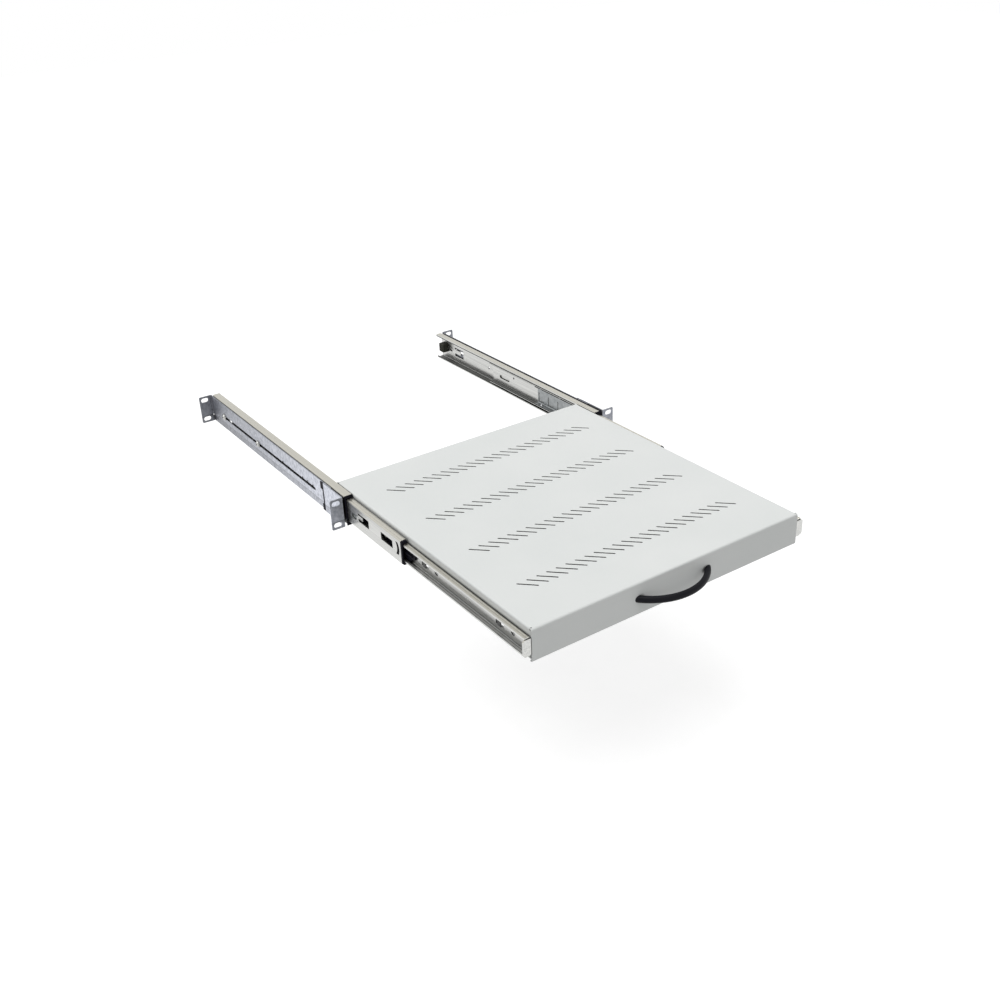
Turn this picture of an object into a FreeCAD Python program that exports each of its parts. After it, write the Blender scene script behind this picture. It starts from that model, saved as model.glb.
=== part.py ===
"""Sliding rack drawer: a vented steel tray on telescopic ball-bearing slides
with front ears and depth-adjustable rear brackets for a 19 inch rack.

Frame: X across the rack, Y towards the rear, Z up, millimetres.
Origin: centre of the front ear slots, on the ear face that meets the rack.
The drawer is built drawn out by REST_OPEN, as on display.
Every right-hand rail part is the mirror image of the left-hand one.
"""
import math
import os

import FreeCAD
import Part

V = FreeCAD.Vector

# rack interface
EAR_SLOT_X = 232.55
EAR_SLOT_Z = 15.875
EAR_EDGE_X = 241.3
EAR_HEIGHT = 44.0
EAR_SLOT_LENGTH = 12.0
EAR_SLOT_HEIGHT = 7.2
EAR_SHEET = 1.6
REAR_EAR_Y = 452.0

# drawer position: the tray front stands CLOSED_FRONT_Y when pushed home
REST_OPEN = 402.0
CLOSED_FRONT_Y = -4.0
TRAY_FRONT_Y = CLOSED_FRONT_Y - REST_OPEN

# tray
TRAY_WIDTH = 412.0
TRAY_DEPTH = 450.0
TRAY_TOP_Z = 22.5
TRAY_HEIGHT = 44.0
TRAY_SIDE_HEIGHT = 34.5
TRAY_SHEET = 1.5
SEAM = 0.25
VENT_ROWS = 4
VENT_PER_ROW = 23
VENT_PITCH = 14.17
VENT_ROW_PITCH = 100.0
VENT_LENGTH = 27.0
VENT_WIDTH = 2.2

# telescopic slide, measured outwards from the tray side
SLIDE_THICKNESS = 12.7
SLIDE_SHEET = 1.2
OUTER_HEIGHT = 44.0
MIDDLE_HEIGHT = 35.0
INNER_HEIGHT = 25.4
OUTER_LENGTH = 450.0
MIDDLE_LENGTH = 426.5
INNER_LENGTH = 431.5
MIDDLE_REST_OFFSET = 145.0
CAGE_SHEET = 0.5
BALL_D = 3.6
BALLS_PER_ROW = 4
RACE_DEPTH = 0.35
OUTER_ROW_X = 6.8
INNER_ROW_X = 4.45

# depth-adjustable rear bracket
BRACKET_SHEET = 1.5
BRACKET_FRONT_Y = 34.0
BRACKET_TOP_Z = 21.5
JOGGLE = 1.1
JOGGLE_Z = -10.5
BRACKET_SLOT_Y = (83.0, 411.0)

# fastening, catches and handle
CLAMP_SCREW_Y = (402.0, 274.0)
HOOK_Y = (-184.0, -345.0)
LEVER_PIVOT_Y = -92.0
LEVER_PIVOT_Z = -1.0
HANDLE_SCREW_X = (-51.5, 51.5)
HANDLE_Z = 0.5
HANDLE_HALF_SPAN = 54.0
HANDLE_RISE = 25.0

# facets round small repeated features
SMALL_SIDES = 12
BALL_SIDES = 6
GRIP_SIDES = 8
VENT_END_FACETS = 2
SLOT_END_FACETS = 3

# derived positions on the right-hand side
SIDE_X = 0.5 * TRAY_WIDTH
OUTER_FACE_X = SIDE_X + SLIDE_THICKNESS
INNER_FRONT_Y = TRAY_FRONT_Y + 2.0
MIDDLE_FRONT_Y = 2.5 - MIDDLE_REST_OFFSET
STRIP_X = OUTER_FACE_X + 0.05
BRACKET_X = STRIP_X + JOGGLE
FRONT_PLATE_X = BRACKET_X + BRACKET_SHEET + 0.05
OUTER_FLANGE_Z = 0.5 * (OUTER_HEIGHT - SLIDE_SHEET) - RACE_DEPTH
MIDDLE_FLANGE_Z = 0.5 * (MIDDLE_HEIGHT - SLIDE_SHEET) - RACE_DEPTH
INNER_FLANGE_Z = 0.5 * (INNER_HEIGHT - SLIDE_SHEET)
OUTER_ROW_Z = 0.5 * (OUTER_FLANGE_Z + MIDDLE_FLANGE_Z)
INNER_ROW_Z = 0.5 * (MIDDLE_FLANGE_Z + INNER_FLANGE_Z)


# ---------------------------------------------------------------- helpers
def box(x0, x1, y0, y1, z0, z1):
    """Axis-aligned block between two corners."""
    return Part.makeBox(x1 - x0, y1 - y0, z1 - z0, V(x0, y0, z0))


def rod(start, direction, radius, length):
    """Round bar from a start point along a direction."""
    return Part.makeCylinder(radius, length, start, direction)


def ring_of(radius, sides, height=0.0):
    """Corners of a regular polygon round the Z axis."""
    steps = [2.0 * math.pi * i / sides for i in range(sides)]
    return [V(radius * math.cos(a), radius * math.sin(a), height) for a in steps]


def prism(corners, length):
    """Straight prism over a closed outline, rising along Z."""
    face = Part.Face(Part.makePolygon(corners + corners[:1]))
    return face.extrude(V(0, 0, length))


def small_rod(start, direction, radius, length):
    """Small round bar or bore, faceted because many of them repeat."""
    bar = prism(ring_of(radius, SMALL_SIDES), length)
    bar.Placement = FreeCAD.Placement(start, FreeCAD.Rotation(V(0, 0, 1), direction))
    return bar


def fuse(shapes):
    """One clean solid from overlapping shapes."""
    return shapes[0].fuse(shapes[1:]).removeSplitter()


def cut(shape, tools):
    """The shape with every tool removed."""
    return shape.cut(Part.makeCompound(tools)) if tools else shape


def mirrored(shape):
    """Left-hand twin of a right-hand shape."""
    return shape.mirror(V(0, 0, 0), V(1, 0, 0))


def export(name, shapes):
    """Write one node; every entry stays a separate solid."""
    solids = [solid for shape in shapes for solid in shape.Solids]
    for solid in solids:
        assert solid.isValid() and solid.Volume > 0, name
    shape = solids[0] if len(solids) == 1 else Part.makeCompound(solids)
    shape.exportStep("parts/%s.step" % name)


def export_pair(name, shapes):
    """Write a right-hand node and its mirrored left-hand twin."""
    export(name + "_right", shapes)
    export(name + "_left", [mirrored(shape) for shape in shapes])


def obround(length, width, depth):
    """Slot-shaped prism: long axis X, centred, rising from Z=0."""
    half = 0.5 * length - 0.5 * width
    radius = 0.5 * width
    edges = [
        Part.LineSegment(V(-half, -radius, 0), V(half, -radius, 0)).toShape(),
        Part.Arc(V(half, -radius, 0), V(half + radius, 0, 0), V(half, radius, 0)).toShape(),
        Part.LineSegment(V(half, radius, 0), V(-half, radius, 0)).toShape(),
        Part.Arc(V(-half, radius, 0), V(-half - radius, 0, 0), V(-half, -radius, 0)).toShape(),
    ]
    return Part.Face(Part.Wire(edges)).extrude(V(0, 0, depth))


def slot_prism(length, width, depth, facets):
    """Slot with faceted round ends: long axis X, centred, rising from Z=0."""
    radius = 0.5 * width
    reach = 0.5 * length - radius
    corners = []
    for side in (1, -1):
        for i in range(facets + 1):
            angle = math.pi * (i / facets - 0.5)
            x = reach + radius * math.cos(angle)
            corners.append(V(side * x, side * radius * math.sin(angle), 0))
    return prism(corners, depth)


def slot_along_y(x0, x1, y, z, length, height):
    """Slot cutter through a web: long axis Y, cutting along X."""
    tool = slot_prism(length, height, x1 - x0, SLOT_END_FACETS)
    tool.rotate(V(0, 0, 0), V(0, 0, 1), 90)
    tool.rotate(V(0, 0, 0), V(0, 1, 0), 90)
    tool.translate(V(x0, y, z))
    return tool


def side_run(points, radii, side):
    """Edges along one side of a bent strip, offset from its centre line."""
    edges = []
    last = len(points) - 1
    cursor = None
    for i in range(last):
        along = (points[i + 1] - points[i]).normalize()
        normal = V(-along.z, 0, along.x)
        start = points[i] + normal * side if i == 0 else cursor
        if i + 1 == last:
            edges.append(Part.LineSegment(start, points[last] + normal * side).toShape())
            break
        after = (points[i + 2] - points[i + 1]).normalize()
        if radii[i] == 0:
            mitre = normal + V(-after.z, 0, after.x)
            cursor = points[i + 1] + mitre * (2.0 * side / mitre.dot(mitre))
            edges.append(Part.LineSegment(start, cursor).toShape())
            continue
        turn = 1.0 if along.x * after.z - along.z * after.x > 0 else -1.0
        angle = along.getAngle(after)
        radius = radii[i]
        reach = radius * math.tan(0.5 * angle)
        centre = points[i + 1] - along * reach + normal * (turn * radius)
        bend = radius - turn * side
        enter = points[i + 1] - along * reach + normal * side
        leave = points[i + 1] + after * reach + V(-after.z, 0, after.x) * side
        middle = centre + (points[i + 1] - centre).normalize() * bend
        if enter.distanceToPoint(start) > 1e-6:
            edges.append(Part.LineSegment(start, enter).toShape())
        edges.append(Part.Arc(enter, middle, leave).toShape())
        cursor = leave
    return edges


def bent_strip(points, radii, sheet, y0, y1):
    """Roll-formed section: XZ centre line with bend radii (0 = sharp), swept along Y."""
    points = [V(x, 0, z) for x, z in points]
    outer = side_run(points, radii, 0.5 * sheet)
    inner = side_run(points, radii, -0.5 * sheet)
    first = Part.LineSegment(inner[0].Vertexes[0].Point, outer[0].Vertexes[0].Point).toShape()
    last = Part.LineSegment(outer[-1].Vertexes[-1].Point, inner[-1].Vertexes[-1].Point).toShape()
    wire = Part.Wire(Part.__sortEdges__([first] + outer + [last] + inner))
    solid = Part.Face(wire).extrude(V(0, y1 - y0, 0))
    solid.translate(V(0, y0, 0))
    return solid


def bent_strip_across(points, radii, sheet, x0, x1):
    """The same for a (y, z) centre line swept along X."""
    solid = bent_strip(points, radii, sheet, -x1, -x0)
    solid.rotate(V(0, 0, 0), V(0, 0, 1), 90)
    return solid


def race(row_x, z, depth):
    """Corners of a shallow ball race in a flange, from the lip towards the web."""
    x = SIDE_X + row_x
    return [(x - 1.2, z), (x - 0.7, z + depth), (x + 0.7, z + depth), (x + 1.2, z)]


def closed_below(upper):
    """Upper half of a channel centre line completed with its mirror image below."""
    return upper + [(x, -z) for x, z in reversed(upper)]


def bends(points, web_x, radius):
    """Bend radii for a channel: round where a flange meets the web, sharp elsewhere."""
    return [radius if abs(point[0] - web_x) < 0.01 else 0 for point in points[1:-1]]


# ------------------------------------------------------------- slide parts
def outer_member():
    """Rack-side channel with latch window, mounting holes and screw holes."""
    web = OUTER_FACE_X - 0.5 * SLIDE_SHEET
    z = OUTER_FLANGE_Z
    lip = [(SIDE_X + 1.4, z - 2.6), (SIDE_X + 1.4, z)]
    points = closed_below(lip + race(OUTER_ROW_X, z, RACE_DEPTH) + [(web, z)])
    body = bent_strip(points, bends(points, web, 2.6), SLIDE_SHEET, 0.0, OUTER_LENGTH)
    x0 = web - 3.0
    x1 = web + 3.0
    window = box(x0, x1, 380.0, 407.0, -9.0, 6.5)
    tongue = box(web - 0.6, web + 0.6, 389.0, 408.0, -4.5, 2.5)
    holes = [window.cut(tongue)]
    holes.append(slot_along_y(x0, x1, 419.0, -3.0, 7.0, 3.0))
    for y in (300.0, 60.0):
        holes.append(small_rod(V(x0, y, 0), V(1, 0, 0), 2.6, 6.0))
    bosses = []
    for y in CLAMP_SCREW_Y:
        holes.append(small_rod(V(x0, y, 0), V(1, 0, 0), 2.0, 9.0))
        bosses.append(small_rod(V(web, y, 0), V(1, 0, 0), 5.0, BRACKET_X - 0.05 - web))
    return cut(fuse([body] + bosses), holes)


def middle_member():
    """Intermediate channel running inside the outer one."""
    web = OUTER_FACE_X - 2.7
    z = MIDDLE_FLANGE_Z
    lip = [(SIDE_X + 2.6, z - 0.8), (SIDE_X + 2.6, z)]
    inner_race = race(INNER_ROW_X, z, RACE_DEPTH)
    outer_race = race(OUTER_ROW_X, z, -RACE_DEPTH)
    points = closed_below(lip + inner_race[:3] + outer_race[1:] + [(web, z)])
    y0 = MIDDLE_FRONT_Y
    body = bent_strip(points, bends(points, web, 1.7), SLIDE_SHEET, y0, y0 + MIDDLE_LENGTH)
    x0 = web - 2.0
    x1 = web + 2.0
    holes = [box(x0, x1, y0 + 20.5, y0 + 50.0, -2.5, 8.5)]
    window = box(x0, x1, y0 + 82.0, y0 + 110.0, -2.5, 9.5)
    tongue = box(x0, x1, y0 + 98.0, y0 + 111.0, 2.0, 7.0)
    holes.append(window.cut(tongue))
    holes.append(slot_along_y(x0, x1, y0 + 122.0, 0.0, 14.0, 8.0))
    holes.append(slot_along_y(x0, x1, y0 + 393.0, -3.5, 29.0, 6.0))
    holes.append(small_rod(V(x0, y0 + 366.0, 5.0), V(1, 0, 0), 1.8, 4.0))
    ring = rod(V(x0, y0 + 17.0, 3.0), V(1, 0, 0), 13.5, 4.0)
    ring = ring.cut(rod(V(x0, y0 + 22.5, 3.0), V(1, 0, 0), 13.5, 4.0))
    holes.append(ring.common(box(x0, x1, y0 + 2.0, y0 + 12.0, -6.0, 12.0)))
    return cut(body, holes)


def inner_member():
    """Drawer-side channel, open outwards, with hook windows and an end tab."""
    web = SIDE_X + 0.5 * SLIDE_SHEET
    z = INNER_FLANGE_Z
    tip = OUTER_FACE_X - 4.9
    inner_race = race(INNER_ROW_X, z, -RACE_DEPTH)
    points = closed_below([(tip, z - 1.8), (tip, z)] + inner_race[::-1] + [(web, z)])
    y0 = INNER_FRONT_Y
    body = bent_strip(points, bends(points, web, 2.0), SLIDE_SHEET, y0, y0 + INNER_LENGTH)
    tab = box(web, OUTER_FACE_X - 1.4, y0 - 1.2, y0 + 0.6, -10.8, 10.8)
    tab = tab.makeChamfer(2.2, [e for e in tab.Edges if is_tab_corner(e)])
    x0 = SIDE_X - 2.0
    x1 = SIDE_X + 3.0
    holes = []
    for y in HOOK_Y:
        holes.append(box(x0, x1, y - 9.0, y + 7.0, -4.0, 4.0))
        comma = small_rod(V(x0, y - 27.0, 0.5), V(1, 0, 0), 4.0, 5.0)
        comma = comma.cut(box(x0, x1, y - 27.0, y - 20.0, 0.5, 6.0))
        holes.append(comma)
    holes.append(small_rod(V(x0, LEVER_PIVOT_Y, LEVER_PIVOT_Z), V(1, 0, 0), 1.5, 5.0))
    return fuse([cut(body, holes), tab])


def is_tab_corner(edge):
    """True for the outer, Y-running corner edges of the end tab."""
    a = edge.Vertexes[0].Point
    b = edge.Vertexes[1].Point
    return abs(a.x - b.x) < 0.01 and abs(a.z - b.z) < 0.01 and a.x > SIDE_X + 5.0


def ball(centre):
    """Bearing ball as a faceted solid: two poles and three rings of corners."""
    radius = 0.5 * BALL_D
    drop = radius * math.sqrt(0.5)
    rings = [ring_of(drop, BALL_SIDES, -drop)]
    rings.append(ring_of(radius, BALL_SIDES))
    rings.append(ring_of(drop, BALL_SIDES, drop))
    outlines = []
    for i in range(BALL_SIDES):
        j = (i + 1) % BALL_SIDES
        outlines.append([rings[0][j], rings[0][i], V(0, 0, -radius)])
        outlines.append([rings[2][i], rings[2][j], V(0, 0, radius)])
        for low, high in zip(rings, rings[1:]):
            outlines.append([low[i], low[j], high[j], high[i]])
    faces = [Part.Face(Part.makePolygon(line + line[:1])) for line in outlines]
    solid = Part.Solid(Part.Shell(faces))
    solid.translate(centre)
    return solid


def ball_cage(web_x, flange_tip_x, row_x, row_z, bend, y0, length):
    """U-shaped strip with pockets for two ball rows; returns cage and balls."""
    points = closed_below([(flange_tip_x, row_z), (web_x - bend, row_z), (web_x, row_z - bend)])
    body = bent_strip(points, [0, 0, 0, 0], CAGE_SHEET, y0, y0 + length)
    step = (length - 30.0) / (BALLS_PER_ROW - 1)
    hole = 0.5 * BALL_D + 0.3
    pockets = []
    balls = []
    for i in range(BALLS_PER_ROW):
        y = y0 + 15.0 + i * step
        for z in (-row_z, row_z):
            pockets.append(box(row_x - hole, row_x + hole, y - hole, y + hole, z - 2.0, z + 2.0))
            balls.append(ball(V(row_x, y, z)))
    return body, pockets, balls


def outer_cage():
    """Ball cage between the outer and the intermediate member."""
    web = OUTER_FACE_X - 1.65
    row_x = SIDE_X + OUTER_ROW_X
    body, pockets, balls = ball_cage(web, SIDE_X + 3.5, row_x, OUTER_ROW_Z, 1.7, 20.0, 220.0)
    return cut(body, pockets), balls


def inner_cage():
    """Ball cage between the intermediate and the inner member."""
    web = OUTER_FACE_X - 3.75
    row_x = SIDE_X + INNER_ROW_X
    y0 = -25.0
    body, pockets, balls = ball_cage(web, SIDE_X + 2.0, row_x, INNER_ROW_Z, 1.3, y0, 180.0)
    slits = []
    for i in range(4):
        y = y0 + 178.0 - 25.0 * i
        slits.append(box(web - 1, web + 1, y - 2.2, y, -9.5, 3.0))
        slits.append(box(web - 1, web + 1, y - 13.0, y, -11.3, -9.3))
    return cut(body, pockets + slits), balls


def retainer():
    """Plastic end piece round the mouth of the intermediate member."""
    web = OUTER_FACE_X - 3.3
    y0 = MIDDLE_FRONT_Y
    front = box(SIDE_X + 2.0, web + 1.0, y0 - 3.0, y0 - 0.05, -17.0, 17.0)
    front = front.makeChamfer(1.8, [e for e in front.Edges if runs_along_y(e)])
    core = box(SIDE_X + 4.2, web - 0.05, y0 - 0.1, y0 + 9.0, -14.0, 14.0)
    mouth = box(SIDE_X - 1.0, OUTER_FACE_X - 4.1, y0 - 4.0, y0 + 10.0, -13.1, 13.1)
    return fuse([front, core]).cut(mouth)


def runs_along_y(edge):
    """True for straight edges parallel to Y."""
    a = edge.Vertexes[0].Point
    b = edge.Vertexes[-1].Point
    return abs(a.x - b.x) < 0.01 and abs(a.z - b.z) < 0.01


def mouth_trim():
    """Plastic frame on the front edge of the outer member, round the intermediate."""
    half = 0.5 * OUTER_HEIGHT
    gap = 0.5 * MIDDLE_HEIGHT + 0.35
    web = OUTER_FACE_X - SLIDE_SHEET
    frame = box(SIDE_X + 1.0, OUTER_FACE_X, -1.25, -0.05, -half, half)
    window = box(SIDE_X, web - 0.55, -2.0, 1.0, -gap, gap)
    lugs = []
    for side in (-1, 1):
        z0, z1 = sorted((side * gap, side * (OUTER_FLANGE_Z - 0.5 * SLIDE_SHEET - 0.1)))
        lugs.append(box(SIDE_X + 2.3, web - 2.2, -0.6, 5.0, z0, z1))
    return fuse([frame.cut(window)] + lugs)


def release_lever():
    """Black spring lever that frees the drawer from the slide."""
    x0 = SIDE_X + SLIDE_SHEET + 0.15
    outline = [
        (-165.0, 5.0),
        (-150.0, 7.5),
        (-104.0, 7.5),
        (-80.0, 6.0),
        (-30.0, 7.0),
        (-30.0, -4.0),
        (-80.0, -4.0),
        (-104.0, -10.2),
        (-152.0, -10.2),
        (-159.0, -5.0),
        (-165.0, -3.0),
    ]
    points = [V(x0, y, z) for y, z in outline]
    body = Part.Face(Part.makePolygon(points + points[:1])).extrude(V(2.4, 0, 0))
    rib = box(x0, x0 + 4.4, -160.0, -140.0, -1.0, 1.0)
    bore = small_rod(V(x0 - 1, LEVER_PIVOT_Y, LEVER_PIVOT_Z), V(1, 0, 0), 1.8, 5.0)
    return fuse([body, rib]).cut(bore)


def runs_along_x(edge):
    """True for straight edges parallel to X."""
    a = edge.Vertexes[0].Point
    b = edge.Vertexes[-1].Point
    return abs(a.y - b.y) < 0.01 and abs(a.z - b.z) < 0.01


def lever_pin():
    """Shouldered rivet the lever turns on."""
    x0 = SIDE_X
    shank = small_rod(V(x0, LEVER_PIVOT_Y, LEVER_PIVOT_Z), V(1, 0, 0), 1.5, 4.6)
    head = small_rod(V(x0 + 4.0, LEVER_PIVOT_Y, LEVER_PIVOT_Z), V(1, 0, 0), 3.0, 1.0)
    return fuse([shank, head])


def bumper():
    """Rubber block closing the rear of the channel."""
    x1 = OUTER_FACE_X - SLIDE_SHEET
    body = box(SIDE_X + 1.2, x1, 430.0, 444.0, -8.0, 7.0)
    return body.makeChamfer(1.2, [e for e in body.Edges if runs_along_x(e)])


# ------------------------------------------------------------ rack brackets
def ear_plate(x0, y0):
    """Flat rack ear with two slots, its back face on y0 + EAR_SHEET."""
    half = 0.5 * EAR_HEIGHT
    plate = box(x0, EAR_EDGE_X, y0, y0 + EAR_SHEET, -half, half)
    corners = [e for e in plate.Edges if runs_along_y(e) and e.Vertexes[0].Point.x > x0 + 1]
    plate = plate.makeChamfer(1.2, corners)
    slots = []
    for z in (-EAR_SLOT_Z, EAR_SLOT_Z):
        slot = obround(EAR_SLOT_LENGTH, EAR_SLOT_HEIGHT, 6.0)
        slot.rotate(V(0, 0, 0), V(1, 0, 0), 90)
        slot.translate(V(EAR_SLOT_X, y0 + 4.0, z))
        slots.append(slot)
    return cut(plate, slots)


def corner_bend(x_face, y_face, sheet, z0, z1, sign):
    """Quarter-round bend between a side plate and an ear."""
    outer = rod(V(x_face, y_face, z0), V(0, 0, 1), sheet + 0.6, z1 - z0)
    inner = rod(V(x_face, y_face, z0 - 1), V(0, 0, 1), 0.6, z1 - z0 + 2)
    ring = outer.cut(inner)
    y_low, y_high = (y_face - 5, y_face) if sign < 0 else (y_face, y_face + 5)
    return ring.common(box(x_face - 5, x_face, y_low, y_high, z0, z1))


def front_ear():
    """Front rack ear on a short side plate, welded on through two pads."""
    half = 0.5 * EAR_HEIGHT
    x0 = FRONT_PLATE_X
    corner_x = x0 + EAR_SHEET + 0.6
    ear = ear_plate(corner_x, -EAR_SHEET)
    bend = corner_bend(corner_x, 0.6, EAR_SHEET, -half, half, -1)
    side = box(x0, x0 + EAR_SHEET, 0.6, 53.0, -half, half)
    pads = []
    for z in (-12.0, 12.0):
        pads.append(box(OUTER_FACE_X, x0 + 0.4, 8.0, 18.0, z - 4.0, z + 4.0))
    return fuse([ear, bend, side] + pads)


def guide_clip():
    """Plastic guide on the rear edge of the front plate, filling the joggle below."""
    x0 = FRONT_PLATE_X + 0.05
    x1 = FRONT_PLATE_X + EAR_SHEET
    y0 = 53.05
    strip = box(x0, x1, y0, y0 + 4.0, -21.5, 21.5)
    upper = box(x0, x1, y0, y0 + 9.0, 11.0, 21.5)
    lower = box(x0, x1, y0, y0 + 8.0, -21.5, -12.5)
    top = JOGGLE_Z - 3.2
    filler = box(STRIP_X + BRACKET_SHEET + 0.05, x0 + 0.5, y0 - 14.0, y0 + 8.0, -21.5, top)
    filler = filler.cut(box(x0 - 0.05, x1, y0 - 20.0, y0, -22.0, 0.0))
    return fuse([strip, upper, lower, filler])


def rear_bracket():
    """Slotted, joggled side plate carrying the rear ear; slides for rack depth."""
    half = 0.5 * EAR_HEIGHT
    corner_x = BRACKET_X + BRACKET_SHEET + 0.6
    y_ear = REAR_EAR_Y - EAR_SHEET
    ear = ear_plate(corner_x, y_ear)
    bend = corner_bend(corner_x, y_ear - 0.6, BRACKET_SHEET, JOGGLE_Z, half, 1)
    tie = box(STRIP_X + BRACKET_SHEET, corner_x + 1.0, y_ear, REAR_EAR_Y, -half, JOGGLE_Z - 2.5)
    low = STRIP_X + 0.5 * BRACKET_SHEET
    high = BRACKET_X + 0.5 * BRACKET_SHEET
    points = [(low, -half), (low, JOGGLE_Z - 2.5), (high, JOGGLE_Z), (high, BRACKET_TOP_Z)]
    side = bent_strip(points, [0, 0], BRACKET_SHEET, BRACKET_FRONT_Y, y_ear - 0.6)
    foot = box(STRIP_X, STRIP_X + BRACKET_SHEET, y_ear - 1.0, REAR_EAR_Y, -half, JOGGLE_Z - 2.5)
    front, rear = BRACKET_SLOT_Y
    x0 = BRACKET_X - 1.0
    slot = slot_along_y(x0, x0 + 4.0, 0.5 * (front + rear), 0.0, rear - front, 4.8)
    notches = []
    for y in (187.0, 122.5, 107.0, 90.0):
        notches.append(small_rod(V(x0, y, 2.6), V(1, 0, 0), 2.2, 4.0))
    return cut(fuse([ear, bend, side, foot, tie]), [slot] + notches)


def clamp_screw(y):
    """Pan-head screw clamping the rear bracket; cross recess in the head."""
    x0 = OUTER_FACE_X - SLIDE_SHEET
    seat = BRACKET_X + BRACKET_SHEET + 0.05 + 0.8
    shank = small_rod(V(x0, y, 0), V(1, 0, 0), 1.95, seat - x0 + 0.5)
    head = small_rod(V(seat, y, 0), V(1, 0, 0), 4.0, 2.2)
    head = head.makeChamfer(0.7, [e for e in head.Edges if e.BoundBox.XMin > seat + 2])
    recess = [box(seat + 1.2, seat + 3, y - 2.2, y + 2.2, -0.5, 0.5)]
    recess.append(box(seat + 1.2, seat + 3, y - 0.5, y + 0.5, -2.2, 2.2))
    return cut(fuse([shank, head]), recess)


def clamp_washer(y):
    """Plain washer under a clamp screw."""
    x0 = BRACKET_X + BRACKET_SHEET + 0.05
    disc = small_rod(V(x0, y, 0), V(1, 0, 0), 5.5, 0.8)
    return disc.cut(small_rod(V(x0 - 1, y, 0), V(1, 0, 0), 2.2, 3.0))


# -------------------------------------------------------------------- tray
def vent_cutters():
    """Rows of diagonal slots through the tray top."""
    cutters = []
    first_y = TRAY_FRONT_Y + 76.0
    for row in range(VENT_ROWS):
        for i in range(VENT_PER_ROW):
            x = (i - 0.5 * (VENT_PER_ROW - 1)) * VENT_PITCH
            tool = slot_prism(VENT_LENGTH, VENT_WIDTH, 6.0, VENT_END_FACETS)
            tool.rotate(V(0, 0, 0), V(0, 0, 1), -45)
            tool.translate(V(x, first_y + row * VENT_ROW_PITCH, TRAY_TOP_Z - 4.0))
            cutters.append(tool)
    return cutters


def tray():
    """Folded sheet tray: top, side flanges, front lip and rear flange."""
    t = TRAY_SHEET
    edge = SIDE_X - 0.5 * t
    top = TRAY_TOP_Z - 0.5 * t
    low = TRAY_TOP_Z - TRAY_SIDE_HEIGHT
    front = TRAY_FRONT_Y
    rear = TRAY_FRONT_Y + TRAY_DEPTH
    shell = bent_strip(
        [(-edge, low), (-edge, top), (edge, top), (edge, low)],
        [2.0, 2.0], t, front + 4.0, rear - 4.0)
    lip = bent_strip_across(
        [(front + 24.0, top), (front + 0.5 * t, top),
         (front + 0.5 * t, TRAY_TOP_Z - TRAY_HEIGHT + 0.5 * t),
         (front + 12.0, TRAY_TOP_Z - TRAY_HEIGHT + 0.5 * t)],
        [2.0, 2.0], t, -SIDE_X, SIDE_X)
    back = bent_strip_across(
        [(rear - 24.0, top), (rear - 0.5 * t, top), (rear - 0.5 * t, -2.0)],
        [2.0], t, -SIDE_X, SIDE_X)
    trims = []
    for side in (-1, 1):
        edges_x = sorted((side * (SIDE_X - 2.75), side * (SIDE_X + 1.0)))
        trims.append(box(*edges_x, front + 4.0, rear - 4.0, -30.0, 30.0))
    cheeks = []
    for x in (-SIDE_X, SIDE_X - t):
        cheeks.append(box(x, x + t, front + t + SEAM, front + 8.0, low, TRAY_TOP_Z - 2.9))
    shell = fuse([shell, cut(lip, trims), cut(back, trims)] + cheeks)
    holes = vent_cutters()
    for x in (-SIDE_X + 1.6, SIDE_X - 1.6):
        holes.append(box(x - 0.9, x + 0.9, front + 2.0, front + 4.1, TRAY_TOP_Z - 2.8, 40.0))
    for x in HANDLE_SCREW_X:
        holes.append(small_rod(V(x, front - 2.0, HANDLE_Z), V(0, 1, 0), 1.95, 6.0))
    for side in (-1, 1):
        x0, x1 = sorted((side * (SIDE_X - 3.0), side * (SIDE_X + 1.0)))
        for y in HOOK_Y:
            holes.append(box(x0, x1, y - 9.0, y + 7.0, -4.0, 4.0))
    body = cut(shell, holes)
    hooks = []
    for y in HOOK_Y:
        root = box(SIDE_X - t, SIDE_X, y + 2.0, y + 7.5, -2.5, 2.5)
        arm = box(SIDE_X - t, SIDE_X + 2.6, y + 0.5, y + 2.0, -2.5, 2.5)
        nose = box(SIDE_X + 1.35, SIDE_X + 2.6, y - 4.5, y + 2.0, -3.8, 2.0)
        hooks += [root, arm, nose]
    hooks += [mirrored(hook) for hook in hooks]
    return fuse([body] + hooks)


def handle():
    """Bow handle: oval bar bent to an arc, with pilot holes in both feet."""
    half = HANDLE_HALF_SPAN
    rise = HANDLE_RISE
    radius = (half * half + rise * rise) / (2.0 * rise)
    centre_y = TRAY_FRONT_Y - rise + radius
    apex_y = TRAY_FRONT_Y - rise
    circle = ring_of(1.0, GRIP_SIDES)
    oval = [V(0, apex_y + 4.0 * p.x, HANDLE_Z + 4.6 * p.y) for p in circle]
    face = Part.Face(Part.makePolygon(oval + oval[:1]))
    face.rotate(V(0, centre_y, 0), V(0, 0, 1), -62)
    bow = face.revolve(V(0, centre_y, 0), V(0, 0, 1), 124)
    bow = bow.common(box(-90, 90, TRAY_FRONT_Y - 60, TRAY_FRONT_Y, -20, 20))
    foot = TRAY_FRONT_Y - 6.5
    pilots = [small_rod(V(x, foot, HANDLE_Z), V(0, 1, 0), 1.75, 8.0) for x in HANDLE_SCREW_X]
    return cut(bow, pilots)


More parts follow.
